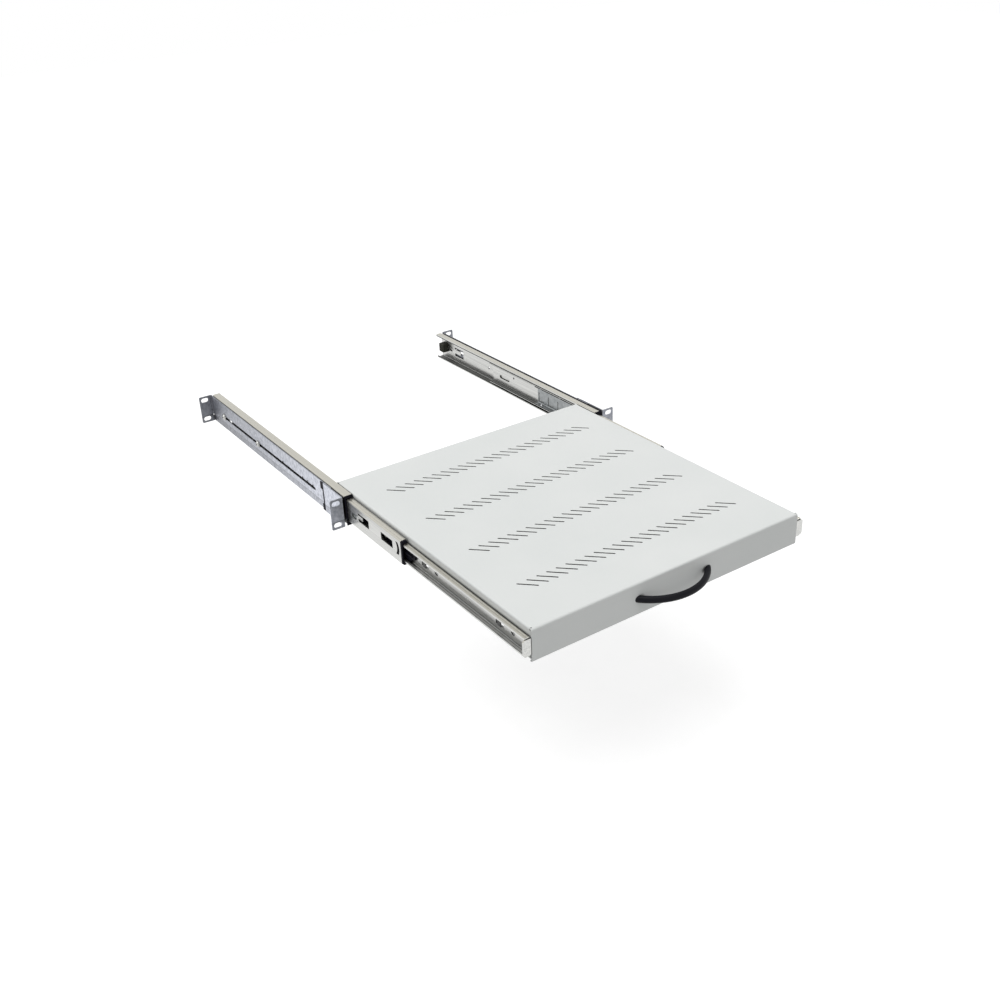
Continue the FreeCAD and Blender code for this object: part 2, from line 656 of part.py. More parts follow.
def handle_screw(x):
    """Pan-head screw through the front lip into a handle foot."""
    y0 = TRAY_FRONT_Y + TRAY_SHEET
    shank = small_rod(V(x, TRAY_FRONT_Y - 6.0, HANDLE_Z), V(0, 1, 0), 1.7, 6.0 + TRAY_SHEET + 0.5)
    head = small_rod(V(x, y0, HANDLE_Z), V(0, 1, 0), 4.0, 2.4)
    head = head.makeChamfer(0.8, [e for e in head.Edges if e.BoundBox.YMin > y0 + 2])
    return fuse([shank, head])


# ------------------------------------------------------------------- build
def main():
    os.makedirs("parts", exist_ok=True)
    export_pair("outer_member", [outer_member()])
    export_pair("middle_member", [middle_member()])
    export_pair("inner_member", [inner_member()])
    cage, balls = outer_cage()
    export_pair("outer_ball_cage", [cage])
    export_pair("outer_balls", balls)
    cage, balls = inner_cage()
    export_pair("inner_ball_cage", [cage])
    export_pair("inner_balls", balls)
    export_pair("end_retainer", [retainer()])
    export_pair("mouth_trim", [mouth_trim()])
    export_pair("release_lever", [release_lever()])
    export_pair("rear_bumper", [bumper()])
    export_pair("front_ear", [front_ear()])
    export_pair("guide_clip", [guide_clip()])
    export_pair("rear_bracket", [rear_bracket()])
    pin = lever_pin()
    export("lever_pins", [pin, mirrored(pin)])
    screws = [clamp_screw(y) for y in CLAMP_SCREW_Y]
    export("clamp_screws", screws + [mirrored(screw) for screw in screws])
    washers = [clamp_washer(y) for y in CLAMP_SCREW_Y]
    export("clamp_washers", washers + [mirrored(washer) for washer in washers])
    export("tray", [tray()])
    export("handle", [handle()])
    export("handle_screws", [handle_screw(x) for x in HANDLE_SCREW_X])


main()
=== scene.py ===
# %% [markdown]
# # A sliding rack drawer
# The object is a vented steel shelf for a 19 inch rack. It rides on two
# telescopic ball-bearing slides, and each slide is held by a short front ear and
# by a long rear bracket that slides for the depth of the rack. The construction
# comes as a fixed frame of solid pieces. This lesson gives every piece its
# finish and models again, with mesh operators, the small moulded and turned
# pieces whose plain solids would look too simple.

import math

import bmesh
import bpy
from mathutils import Matrix, Vector


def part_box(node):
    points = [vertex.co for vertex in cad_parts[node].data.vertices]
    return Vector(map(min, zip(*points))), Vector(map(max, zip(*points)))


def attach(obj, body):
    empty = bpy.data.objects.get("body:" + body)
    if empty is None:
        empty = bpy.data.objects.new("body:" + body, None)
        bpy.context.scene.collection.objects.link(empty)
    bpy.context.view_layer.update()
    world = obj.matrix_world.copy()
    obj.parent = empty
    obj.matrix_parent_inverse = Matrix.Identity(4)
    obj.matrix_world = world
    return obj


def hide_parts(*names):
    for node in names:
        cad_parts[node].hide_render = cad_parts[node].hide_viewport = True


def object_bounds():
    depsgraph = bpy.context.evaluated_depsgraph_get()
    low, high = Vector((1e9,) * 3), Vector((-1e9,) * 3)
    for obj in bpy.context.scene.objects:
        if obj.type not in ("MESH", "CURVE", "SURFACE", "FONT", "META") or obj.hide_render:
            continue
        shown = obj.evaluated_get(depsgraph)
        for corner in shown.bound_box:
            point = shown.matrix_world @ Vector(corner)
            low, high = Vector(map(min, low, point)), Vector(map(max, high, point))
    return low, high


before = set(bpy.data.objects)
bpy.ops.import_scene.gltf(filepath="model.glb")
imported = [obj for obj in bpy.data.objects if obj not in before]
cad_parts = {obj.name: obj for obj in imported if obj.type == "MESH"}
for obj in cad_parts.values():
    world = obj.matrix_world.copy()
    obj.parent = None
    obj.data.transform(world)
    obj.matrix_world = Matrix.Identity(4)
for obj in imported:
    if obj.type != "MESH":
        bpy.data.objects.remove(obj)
cad_bounds = [list(corner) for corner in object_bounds()]
MM = 0.001
print("nodes:", len(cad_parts), "box:", cad_bounds)

# %% [markdown]
# ## Helpers for finishes
# A finish is a small tree of nodes round one Principled shader. All patterns
# read Object coordinates, in metres, so they sit on the piece at their real
# scale and stay there when the drawer moves. Image textures would need files,
# and a plain colour would look like plastic, so noise does the work.


# %% Helpers for finishes
def new_finish(name, color, roughness, metallic):
    """A material with one Principled shader; returns it with its node tree."""
    material = bpy.data.materials.new(name)
    material.use_nodes = True
    material.diffuse_color = (*color, 1.0)
    shader = material.node_tree.nodes["Principled BSDF"]
    shader.inputs["Base Color"].default_value = (*color, 1.0)
    shader.inputs["Roughness"].default_value = roughness
    shader.inputs["Metallic"].default_value = metallic
    return material, material.node_tree, shader


def object_space(tree, scale):
    """Object coordinates stretched by a scale per axis."""
    where = tree.nodes.new("ShaderNodeTexCoord")
    stretch = tree.nodes.new("ShaderNodeMapping")
    stretch.inputs["Scale"].default_value = scale
    tree.links.new(where.outputs["Object"], stretch.inputs["Vector"])
    return stretch.outputs["Vector"]


def noise(tree, scale, detail=3.0, stretch=(1.0, 1.0, 1.0)):
    """Noise in object space; scale is in grains per metre."""
    node = tree.nodes.new("ShaderNodeTexNoise")
    node.inputs["Scale"].default_value = scale
    node.inputs["Detail"].default_value = detail
    tree.links.new(object_space(tree, stretch), node.inputs["Vector"])
    return node.outputs["Fac"]


def tint(tree, shader, factor, dark, light):
    """Base colour between two shades, led by a factor."""
    ramp = tree.nodes.new("ShaderNodeValToRGB")
    ramp.color_ramp.elements[0].position = 0.3
    ramp.color_ramp.elements[0].color = (*dark, 1.0)
    ramp.color_ramp.elements[1].position = 0.7
    ramp.color_ramp.elements[1].color = (*light, 1.0)
    tree.links.new(factor, ramp.inputs["Fac"])
    tree.links.new(ramp.outputs["Color"], shader.inputs["Base Color"])


def vary_roughness(tree, shader, factor, low, high):
    """Roughness between two values, led by a factor."""
    span = tree.nodes.new("ShaderNodeMapRange")
    span.inputs["To Min"].default_value = low
    span.inputs["To Max"].default_value = high
    tree.links.new(factor, span.inputs["Value"])
    tree.links.new(span.outputs["Result"], shader.inputs["Roughness"])


def relief(tree, shader, height, depth):
    """Fine relief of the surface; depth is in metres."""
    bump = tree.nodes.new("ShaderNodeBump")
    bump.inputs["Strength"].default_value = 1.0
    bump.inputs["Distance"].default_value = depth
    tree.links.new(height, bump.inputs["Height"])
    tree.links.new(bump.outputs["Normal"], shader.inputs["Normal"])


def dress(finish, *nodes):
    """Give CAD nodes a finish through their material slots."""
    for name in nodes:
        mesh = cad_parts[name].data
        mesh.materials.clear()
        mesh.materials.append(finish)
    print(finish.name, "on", ", ".join(nodes))


def both(name):
    """The left-hand and right-hand node names of a mirrored pair."""
    return (name + "_left", name + "_right")


# %% [markdown]
# ## Painted shade in the hollows
# Steel hardware is never one even grey: cut edges, ball races and the insides of
# channels lie in shade, where light hardly reaches. Painting each hollow by hand
# would take a mask per piece. An Ambient Occlusion node measures how closed in
# each point is, so one small helper paints shade into every hollow of a piece
# and leaves its open faces alone.


# %% Painted shade in the hollows
def cover(tree, shader, mask, color):
    """Mix a colour over the finish where a mask goes to 0."""
    mix = tree.nodes.new("ShaderNodeMix")
    mix.data_type = "RGBA"
    mix.inputs["A"].default_value = (*color, 1.0)
    clean = shader.inputs["Base Color"].links[0].from_socket
    tree.links.new(clean, mix.inputs["B"])
    tree.links.new(mask, mix.inputs["Factor"])
    tree.links.new(mix.outputs["Result"], shader.inputs["Base Color"])


def scale_color(tree, shader, factor):
    """Multiply the base colour by a factor."""
    scaled = tree.nodes.new("ShaderNodeVectorMath")
    scaled.operation = "SCALE"
    tree.links.new(shader.inputs["Base Color"].links[0].from_socket, scaled.inputs["Vector"])
    tree.links.new(factor, scaled.inputs["Scale"])
    tree.links.new(scaled.outputs["Vector"], shader.inputs["Base Color"])


def spread(tree, value, start, end, low, high):
    """Carry a value from one range to another."""
    span = tree.nodes.new("ShaderNodeMapRange")
    span.inputs["From Min"].default_value = start
    span.inputs["From Max"].default_value = end
    span.inputs["To Min"].default_value = low
    span.inputs["To Max"].default_value = high
    tree.links.new(value, span.inputs["Value"])
    return span.outputs["Result"]


def calculate(tree, operation, value, limit):
    """A Math node on a value and a number or a second value."""
    node = tree.nodes.new("ShaderNodeMath")
    node.operation = operation
    tree.links.new(value, node.inputs[0])
    if isinstance(limit, float):
        node.inputs[1].default_value = limit
    else:
        tree.links.new(limit, node.inputs[1])
    return node.outputs[0]


def axis_of(tree, output, axis):
    """One axis of the Object coordinates or of the Normal."""
    where = tree.nodes.new("ShaderNodeTexCoord")
    split = tree.nodes.new("ShaderNodeSeparateXYZ")
    tree.links.new(where.outputs[output], split.inputs["Vector"])
    return split.outputs[axis]


def painted_hollow_shade(tree, shader, reach, color, start, end):
    """Paint shade into the finish where the surface is closed in by its neighbours."""
    hollow = tree.nodes.new("ShaderNodeAmbientOcclusion")
    hollow.samples = 8
    hollow.inputs["Distance"].default_value = reach
    cover(tree, shader, spread(tree, hollow.outputs["AO"], start, end, 0.0, 1.0), color)


# %% [markdown]
# ## Powder coat
# The tray is folded from sheet steel and coated with light grey powder. Baked
# powder flows into a fine "orange peel" about a millimetre wide, with a satin
# gloss. It could be modelled as a displaced mesh, but the relief is only some
# microns deep, so a bump is right. A second, slow noise shifts the grey by a
# few percent, so that the large panel is not perfectly even. The vent slots are
# narrow, and their cut walls lie in shade. A second material would need edits to
# the mesh, so a mask picks the walls by place and direction: steep faces just
# under the top, away from the rounded edges of the tray. The walls are painted
# near black as painted shade.


# %% Mask of the vent walls
def vent_walls(tree):
    """0 on the cut walls of the vent slots, 1 elsewhere on the tray."""
    low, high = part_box("tray")
    height = axis_of(tree, "Object", "Z")
    along = axis_of(tree, "Object", "Y")
    tilt = calculate(tree, "ABSOLUTE", axis_of(tree, "Normal", "Z"), 0.0)
    across = calculate(tree, "ABSOLUTE", axis_of(tree, "Object", "X"), 0.0)
    away = calculate(tree, "GREATER_THAN", tilt, 0.3)
    for outside in (calculate(tree, "LESS_THAN", height, high[2] - 0.0016),
                    calculate(tree, "GREATER_THAN", across, high[0] - 0.015),
                    calculate(tree, "LESS_THAN", along, low[1] + 0.02),
                    calculate(tree, "GREATER_THAN", along, high[1] - 0.02)):
        away = calculate(tree, "MAXIMUM", away, outside)
    return away


# %% [markdown]
# ## Coat, hooks and seams
# The side hooks sit in the narrow gap between tray and slide and look nearly
# black there. The soft studio light of this scene fills such a gap more than it
# should, so the hooks are darkened with painted shade by how far out they lie,
# and the seam along the slides gets a light painted shade. This paints shade
# into the finish, which is a shortcut: it would stay dark under a light that
# shines into the gap.

# %% Coat, hooks and seams
coat, tree, shader = new_finish("powder_coat", (0.62, 0.64, 0.63), 0.48, 0.0)
shader.inputs["Specular IOR Level"].default_value = 0.4
tint(tree, shader, noise(tree, 9.0), (0.66, 0.68, 0.67), (0.69, 0.705, 0.695))
peel = noise(tree, 900.0, detail=2.0)
vary_roughness(tree, shader, peel, 0.42, 0.55)
relief(tree, shader, peel, 0.00005)
side_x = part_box("inner_member_right")[0][0]
beyond = calculate(tree, "ABSOLUTE", axis_of(tree, "Object", "X"), 0.0)
# Painted shade: the hooks beyond the side flange are painted dark.
cover(tree, shader, calculate(tree, "LESS_THAN", beyond, side_x + 0.0003), (0.09, 0.09, 0.09))
# Painted shade along the seam with the slides and in the tray's other hollows.
painted_hollow_shade(tree, shader, 0.004, (0.14, 0.14, 0.14), 0.3, 0.85)
# Painted shade: the vent walls are painted near black.
cover(tree, shader, vent_walls(tree), (0.03, 0.03, 0.03))
dress(coat, "tray")

# %% [markdown]
# ## Zinc plate
# Ears and rear brackets are bent from zinc-plated sheet: a satin metal with a
# cold, bluish grey. Rolling leaves faint streaks along the sheet and the
# plating leaves soft cloudy patches, so two noises are used, one stretched
# along the rail and one round. The inner corners get painted shade.

# %% Zinc plate
zinc, tree, shader = new_finish("zinc_plate", (0.47, 0.49, 0.54), 0.4, 0.85)
clouds = noise(tree, 220.0, detail=6.0)
streaks = noise(tree, 400.0, detail=4.0, stretch=(1.0, 0.03, 1.0))
tint(tree, shader, clouds, (0.20, 0.21, 0.235), (0.34, 0.35, 0.385))
vary_roughness(tree, shader, streaks, 0.32, 0.5)
relief(tree, shader, streaks, 0.00002)

# %% [markdown]
# ## Painted reflection and shade along the rails
# Bright plating shows the room more than itself, and a long rail often looks
# darker at its far end, where it mirrors a darker part of the room. The white
# surroundings of this scene can't do that, so a painted reflection scales the
# tone by the place along the rail, more on the upright faces than on the others.
# The stepped strip along the bottom is painted darker as shade, with a painted
# shade line in its crease. Like the hooks, these are painted shortcuts. A darker
# wall behind would be the true way, but it would change the background too.

# %% Painted reflection and shade along the rails
along = axis_of(tree, "Object", "Y")
height = axis_of(tree, "Object", "Z")
sideways = calculate(tree, "ABSOLUTE", axis_of(tree, "Normal", "X"), 0.0)
# Painted reflection: the tone is scaled along the rail, more on upright faces.
painted_reflection_gain = tree.nodes.new("ShaderNodeMix")
tree.links.new(sideways, painted_reflection_gain.inputs["Factor"])
tree.links.new(spread(tree, along, 0.45, 0.0, 0.8, 1.0), painted_reflection_gain.inputs["A"])
tree.links.new(spread(tree, along, 0.45, 0.0, 1.0, 2.3), painted_reflection_gain.inputs["B"])
scale_color(tree, shader, painted_reflection_gain.outputs["Result"])
# Painted shade: the bottom strip and the line in its crease are darker.
below = calculate(tree, "GREATER_THAN", height, -0.0125)
crease = calculate(tree, "ABSOLUTE", calculate(tree, "ADD", height, 0.0115), 0.0)
scale_color(tree, shader, spread(tree, below, 0.0, 1.0, 0.75, 1.0))
scale_color(tree, shader, spread(tree, crease, 0.0006, 0.0016, 0.55, 1.0))
# Painted shade in the inner corners.
painted_hollow_shade(tree, shader, 0.006, (0.04, 0.04, 0.045), 0.3, 0.85)
dress(zinc, *both("front_ear"), *both("rear_bracket"))

# %% [markdown]
# ## Bright slide zinc
# The slide members are roll-formed from pre-plated strip. They are brighter and
# a little warmer than the brackets, and the rolls leave fine lines along the
# member, so the streak noise is stretched hard along Y. The floor of each
# channel, where the lower balls run, lies in shade under the upper flange and is
# painted darker. The tops of the flanges get a warmer painted reflection. Masks
# find floors, tops and the inner edges of the lips by where they are and which
# way they face, as one mesh holds them all.


# %% Masks of the slide members
def channel_floor(tree):
    """0 on the upward faces of the lower flanges, 1 on every other face."""
    high = calculate(tree, "GREATER_THAN", axis_of(tree, "Object", "Z"), -0.008)
    level = calculate(tree, "LESS_THAN", axis_of(tree, "Normal", "Z"), 0.5)
    return calculate(tree, "MAXIMUM", high, level)


def not_on_top(tree):
    """0 on the upward faces of the upper flanges, 1 on every other face."""
    low = calculate(tree, "LESS_THAN", axis_of(tree, "Object", "Z"), 0.008)
    level = calculate(tree, "LESS_THAN", axis_of(tree, "Normal", "Z"), 0.5)
    return calculate(tree, "MAXIMUM", low, level)


def lip_lines(tree):
    """0 on the edges of the lips of the outer and intermediate members, 1 elsewhere."""
    across = calculate(tree, "ABSOLUTE", axis_of(tree, "Object", "X"), 0.0)
    height = calculate(tree, "ABSOLUTE", axis_of(tree, "Object", "Z"), 0.0)
    clear = None
    for reach, low, high in ((2.2, 17.5, 19.9), (3.4, 14.9, 16.3)):
        outside = calculate(tree, "GREATER_THAN", across, side_x + reach * MM)
        under = calculate(tree, "LESS_THAN", height, low * MM)
        over = calculate(tree, "GREATER_THAN", height, high * MM)
        free = calculate(tree, "MAXIMUM", outside, calculate(tree, "MAXIMUM", under, over))
        clear = free if clear is None else calculate(tree, "MINIMUM", clear, free)
    return clear


# %% [markdown]
# ## Zinc of the slides
# The masks now paint shade into the finish. The floor of the inner member lies
# open, so its painted shade stays lighter than on the floors of the deeper
# channels. The lips of the outer and intermediate members get a thin painted
# shade line. It stands for the dark gap between two nested members, which soft
# light from all sides washes out.

# %% Zinc of the slides
slide, tree, shader = new_finish("slide_zinc", (0.62, 0.62, 0.59), 0.3, 0.95)
lines = noise(tree, 700.0, detail=4.0, stretch=(1.0, 0.012, 1.0))
tint(tree, shader, lines, (0.47, 0.475, 0.465), (0.66, 0.66, 0.64))
vary_roughness(tree, shader, lines, 0.22, 0.38)
relief(tree, shader, lines, 0.00002)
# Painted reflection: a warmer tone on the upward faces of the upper flanges.
cover(tree, shader, not_on_top(tree), (0.53, 0.515, 0.46))
# Painted shade on the channel floors, lighter on the open floor of the inner member.
inner_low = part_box("inner_member_right")[0][2]
shade = spread(tree, axis_of(tree, "Object", "Z"), inner_low - 0.0008, inner_low - 0.0002, 0.2, 0.66)
floor_shade = tree.nodes.new("ShaderNodeMix")
tree.links.new(channel_floor(tree), floor_shade.inputs["Factor"])
tree.links.new(shade, floor_shade.inputs["A"])
floor_shade.inputs["B"].default_value = 1.0
scale_color(tree, shader, floor_shade.outputs["Result"])
# Painted shade line on the lip edges, for the dark gap between nested members.
cover(tree, shader, lip_lines(tree), (0.012, 0.013, 0.011))
# Painted shade in the hollows of the slides.
painted_hollow_shade(tree, shader, 0.004, (0.012, 0.013, 0.011), 0.4, 0.85)
dress(slide, *both("outer_member"), *both("middle_member"), *both("inner_member"))

# %% [markdown]
# ## Cage steel and balls
# The ball cages are thin bright strip with punched pockets, and the balls are
# polished steel. Both are seen only through the mouths of the slides, so a
# fine grain in the strip and a low roughness on the balls are enough. The strip
# sits in shade inside the slides, so its grey is painted much darker than bright
# steel, and its hollows get painted shade.

# %% Cage steel and balls
cage, tree, shader = new_finish("cage_steel", (0.62, 0.64, 0.66), 0.35, 0.95)
# Painted shade: the cage strip is tinted far darker than its bright steel.
tint(tree, shader, noise(tree, 150.0), (0.25, 0.265, 0.27), (0.34, 0.355, 0.36))
# Painted shade in the hollows of the cages.
painted_hollow_shade(tree, shader, 0.003, (0.02, 0.02, 0.02), 0.4, 0.85)
dress(cage, *both("outer_ball_cage"), *both("inner_ball_cage"))
polish, tree, shader = new_finish("ball_steel", (0.7, 0.7, 0.72), 0.12, 1.0)
tint(tree, shader, noise(tree, 900.0), (0.62, 0.62, 0.64), (0.72, 0.72, 0.74))
vary_roughness(tree, shader, noise(tree, 2000.0), 0.08, 0.18)

# %% [markdown]
# ## Screw zinc, plastics and rubber
# Screws, washers and rivets have a brighter yellowish zinc. The moulded black
# parts differ by their gloss and grain: the guide clips, retainers and levers
# are satin plastic, the bow handle is a smooth soft-touch plastic, and the rear
# bumpers are a dull rubber with a brown cast.

# %% Screw zinc, plastics and rubber
screw_zinc, tree, shader = new_finish("screw_zinc", (0.56, 0.56, 0.55), 0.3, 0.95)
tint(tree, shader, noise(tree, 500.0), (0.42, 0.42, 0.41), (0.62, 0.62, 0.60))
# Painted shade in the recesses of the screws, washers and rivets.
painted_hollow_shade(tree, shader, 0.003, (0.02, 0.02, 0.018), 0.35, 0.9)


def moulding(name, dark, light, roughness, grain, depth, gloss):
    """A dark moulded finish with a fine spark-eroded grain."""
    finish, tree, shader = new_finish(name, dark, roughness, 0.0)
    shader.inputs["Specular IOR Level"].default_value = gloss
    skin = noise(tree, grain, detail=2.0)
    tint(tree, shader, skin, dark, light)
    vary_roughness(tree, shader, skin, roughness - 0.06, roughness + 0.06)
    relief(tree, shader, skin, depth)
    return finish


black = moulding("black_plastic", (0.006, 0.006, 0.010), (0.013, 0.013, 0.019), 0.5, 1500.0, 0.00002, 0.05)
grip_skin = moulding("handle_black", (0.004, 0.004, 0.006), (0.008, 0.008, 0.011), 0.45, 1200.0, 0.00002, 0.1)
rubber = moulding("bumper_rubber", (0.034, 0.035, 0.027), (0.056, 0.056, 0.045), 0.7, 900.0, 0.00005, 0.15)
dress(black, *both("guide_clip"), *both("end_retainer"), *both("release_lever"), *both("mouth_trim"))

# %% [markdown]
# ## Modelling helpers
# Turned and moulded parts start from a circle, a disc or a box and are shaped
# by mesh operators, the same ones as in the editor. Each helper works on a
# bmesh, so several steps can follow each other before a mesh is written once.
# A finished piece keeps its place in its mesh and its object stays at the
# origin, rides on the body that carries it and takes the finish of its slot.


def corners_of(node):
    """Lowest and highest corner of a CAD node at rest."""
    low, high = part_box(node)
    return Vector(low), Vector(high)


def settle(name, work, finish, body, replaces, smooth_angle=35.0):
    """Write a bmesh as a finished piece that stands for a CAD node."""
    bmesh.ops.remove_doubles(work, verts=work.verts, dist=1e-6)
    bmesh.ops.recalc_face_normals(work, faces=work.faces)
    limit = math.radians(smooth_angle)
    for face in work.faces:
        face.smooth = True
    for edge in work.edges:
        edge.smooth = edge.is_manifold and edge.calc_face_angle(0.0) < limit
    mesh = bpy.data.meshes.new(name)
    work.to_mesh(mesh)
    work.free()
    piece = bpy.data.objects.new(name, mesh)
    bpy.context.scene.collection.objects.link(piece)
    mesh.materials.append(finish)
    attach(piece, body)
    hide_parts(*replaces)
    print(name, "has", len(mesh.polygons), "faces and rides on", body)
    return piece


def block(work, low, high):
    """A box between two corners; returns its corner points."""
    made = bmesh.ops.create_cube(work, size=1.0)["verts"]
    size = Vector(high) - Vector(low)
    bmesh.ops.scale(work, verts=made, vec=size)
    bmesh.ops.translate(work, verts=made, vec=(Vector(low) + Vector(high)) * 0.5)
    return made


def round_edges(work, edges, width, segments=2):
    """Bevel edges with round sections."""
    bmesh.ops.bevel(work, geom=edges, offset=width, offset_type="OFFSET", segments=segments,
                    profile=0.5, affect="EDGES", material=-1, clamp_overlap=True)


def sharp_edges(work, above=30.0):
    """Edges where two faces meet at more than an angle."""
    limit = math.radians(above)
    return [edge for edge in work.edges if edge.is_manifold and edge.calc_face_angle(0.0) > limit]


# %% [markdown]
# ## Bow handle
# The handle is a moulded bow of soft black plastic: an oval bar, bent to an arc,
# that dies into the front lip at both ends. A curve with a bevel would also
# give a bent bar, but its ends would be square to the curve. Here a circle is
# squeezed to an oval, spun about the centre of the arc, and both ends are cut
# flush with the lip by a plane.

# %% Bow handle
low, high = corners_of("handle")
lip_y = corners_of("tray")[0].y
GRIP_DEPTH = 8.0 * MM
reach = lip_y - low.y
half_width = 0.5 * (high.x - low.x)
outer_radius = (half_width ** 2 + reach ** 2) / (2.0 * reach)
grip_radius = outer_radius - 0.5 * GRIP_DEPTH
arc_centre = Vector((0.0, low.y + outer_radius, 0.5 * (low.z + high.z)))
work = bmesh.new()
ring = bmesh.ops.create_circle(work, radius=1.0, segments=32)["verts"]
bmesh.ops.scale(work, verts=ring, vec=(0.5 * GRIP_DEPTH, 0.5 * (high.z - low.z), 1.0))
bmesh.ops.rotate(work, verts=ring, matrix=Matrix.Rotation(math.radians(90.0), 3, "X"))
SWEEP = math.radians(66.0)
bmesh.ops.translate(work, verts=ring, vec=arc_centre + Vector((grip_radius, 0.0, 0.0)))
bmesh.ops.rotate(work, verts=ring, cent=arc_centre,
                 matrix=Matrix.Rotation(-0.5 * math.pi - SWEEP, 3, "Z"))
bmesh.ops.spin(work, geom=work.verts[:] + work.edges[:], cent=arc_centre, axis=(0.0, 0.0, 1.0),
               angle=2.0 * SWEEP, steps=64)
trimmed = bmesh.ops.bisect_plane(work, geom=work.verts[:] + work.edges[:] + work.faces[:],
                                 plane_co=(0.0, lip_y, 0.0), plane_no=(0.0, 1.0, 0.0),
                                 clear_outer=True)
cut_edges = [part for part in trimmed["geom_cut"] if isinstance(part, bmesh.types.BMEdge)]
bmesh.ops.holes_fill(work, edges=cut_edges, sides=0)
print("grip radius", round(grip_radius / MM, 1), "mm")
settle("bow_handle", work, grip_skin, "drawer", ["handle"])


# %% [markdown]
# ## Screws
# Pan-head screws hold the rear brackets and the handle. A pan head has a domed
# rim and a cross recess. The recess starts as a plus-shaped face: a small
# square whose four sides are extruded outwards. A ring of the head is bridged
# to its outline, and the plus is pushed down to make the drive.


# %% Screws
def pan_head(work, radius, height, drive):
    """A pan head on the XY plane, rising along Z, with a cross recess."""
    arm = 0.16 * radius
    plus = bmesh.ops.create_grid(work, x_segments=1, y_segments=1, size=arm)["verts"]
    core = plus[0].link_faces[0]
    for edge in core.edges[:]:
        away = (edge.verts[0].co + edge.verts[1].co) * 0.5
        pulled = bmesh.ops.extrude_edge_only(work, edges=[edge])["geom"]
        tips = [part for part in pulled if isinstance(part, bmesh.types.BMVert)]
        bmesh.ops.translate(work, verts=tips, vec=away.normalized() * (drive - arm))
    bmesh.ops.translate(work, verts=work.verts, vec=(0.0, 0.0, height))
    outline = [edge for edge in work.edges if edge.is_boundary]
    rim = bmesh.ops.create_circle(work, radius=0.62 * radius, segments=24)["verts"]
    bmesh.ops.translate(work, verts=rim, vec=(0.0, 0.0, height))
    rim_edges = list({edge for vert in rim for edge in vert.link_edges})
    plus_faces = [face for face in work.faces]
    bmesh.ops.bridge_loops(work, edges=outline + rim_edges)
    sunk = bmesh.ops.extrude_face_region(work, geom=plus_faces)["geom"]
    floor_verts = [part for part in sunk if isinstance(part, bmesh.types.BMVert)]
    bmesh.ops.translate(work, verts=floor_verts, vec=(0.0, 0.0, -0.45 * height))
    bmesh.ops.delete(work, geom=plus_faces, context="FACES_ONLY")
    edge_loop = rim_edges
    for scale, drop in ((1.22, 0.08), (1.42, 0.25), (1.55, 0.5), (1.613, 0.8), (1.613, 1.0)):
        grown = bmesh.ops.extrude_edge_only(work, edges=edge_loop)["geom"]
        verts = [part for part in grown if isinstance(part, bmesh.types.BMVert)]
        edge_loop = [part for part in grown if isinstance(part, bmesh.types.BMEdge)
                     and part.verts[0] in verts and part.verts[1] in verts]
        for vert in verts:
            flat = Vector((vert.co.x, vert.co.y, 0.0)).normalized() * 0.62 * radius * scale
            vert.co = (flat.x, flat.y, height * (1.0 - drop))
    bmesh.ops.holes_fill(work, edges=edge_loop, sides=0)


def shank(work, radius, top, bottom):
    """A plain round shank along Z between two heights."""
    made = bmesh.ops.create_cone(work, segments=20, radius1=radius, radius2=radius,
                                 depth=top - bottom, cap_ends=True)["verts"]
    bmesh.ops.translate(work, verts=made, vec=(0.0, 0.0, 0.5 * (top + bottom)))


def aim(work, verts, direction, place):
    """Turn points from +Z to a direction and carry them to a place."""
    turn = Vector((0.0, 0.0, 1.0)).rotation_difference(Vector(direction)).to_matrix()
    bmesh.ops.rotate(work, verts=verts, matrix=turn)
    bmesh.ops.translate(work, verts=verts, vec=place)


def join(work, part):
    """Add a part's mesh to a larger one."""
    mesh = bpy.data.meshes.new("part")
    part.to_mesh(mesh)
    part.free()
    work.from_mesh(mesh)
    bpy.data.meshes.remove(mesh)


low, high = corners_of("clamp_screws")
HEAD_RADIUS = 4.0 * MM
HEAD_HEIGHT = 2.2 * MM
work = bmesh.new()
for side in (-1.0, 1.0):
    for y in (low.y + HEAD_RADIUS, high.y - HEAD_RADIUS):
        screw = bmesh.new()
        pan_head(screw, HEAD_RADIUS, HEAD_HEIGHT, 2.2 * MM)
        shank(screw, 1.9 * MM, 0.1 * MM, -4.6 * MM)
        aim(screw, screw.verts, (side, 0.0, 0.0), (side * (high.x - HEAD_HEIGHT), y, 0.0))
        join(work, screw)
settle("bracket_screws", work, screw_zinc, "rails", ["clamp_screws"])

low, high = corners_of("handle_screws")
HANDLE_HEAD = 2.4 * MM
work = bmesh.new()
for x in (low.x + HEAD_RADIUS, high.x - HEAD_RADIUS):
    screw = bmesh.new()
    pan_head(screw, HEAD_RADIUS, HANDLE_HEAD, 2.2 * MM)
    shank(screw, 1.65 * MM, 0.1 * MM, low.y - high.y + HANDLE_HEAD)
    aim(screw, screw.verts, (0.0, 1.0, 0.0), (x, high.y - HANDLE_HEAD, 0.5 * (low.z + high.z)))
    join(work, screw)
settle("grip_screws", work, screw_zinc, "drawer", ["handle_screws"])

# %% [markdown]
# ## Washers and rivets
# A plain washer is a ring with slightly rounded edges: a small outline spun a
# full turn. The lever rivets are the same outline spun down to the axis, so a
# single helper makes both.


# %% Washers and rivets
def turned(work, outline, steps=28):
    """Spin an outline of (radius, height) points a full turn round Z."""
    verts = [work.verts.new((radius, 0.0, height)) for radius, height in outline]
    edges = [work.edges.new(pair) for pair in zip(verts, verts[1:])]
    bmesh.ops.spin(work, geom=verts + edges, cent=(0.0, 0.0, 0.0), axis=(0.0, 0.0, 1.0),
                   angle=2.0 * math.pi, steps=steps, use_merge=True)
    bmesh.ops.remove_doubles(work, verts=work.verts, dist=1e-6)


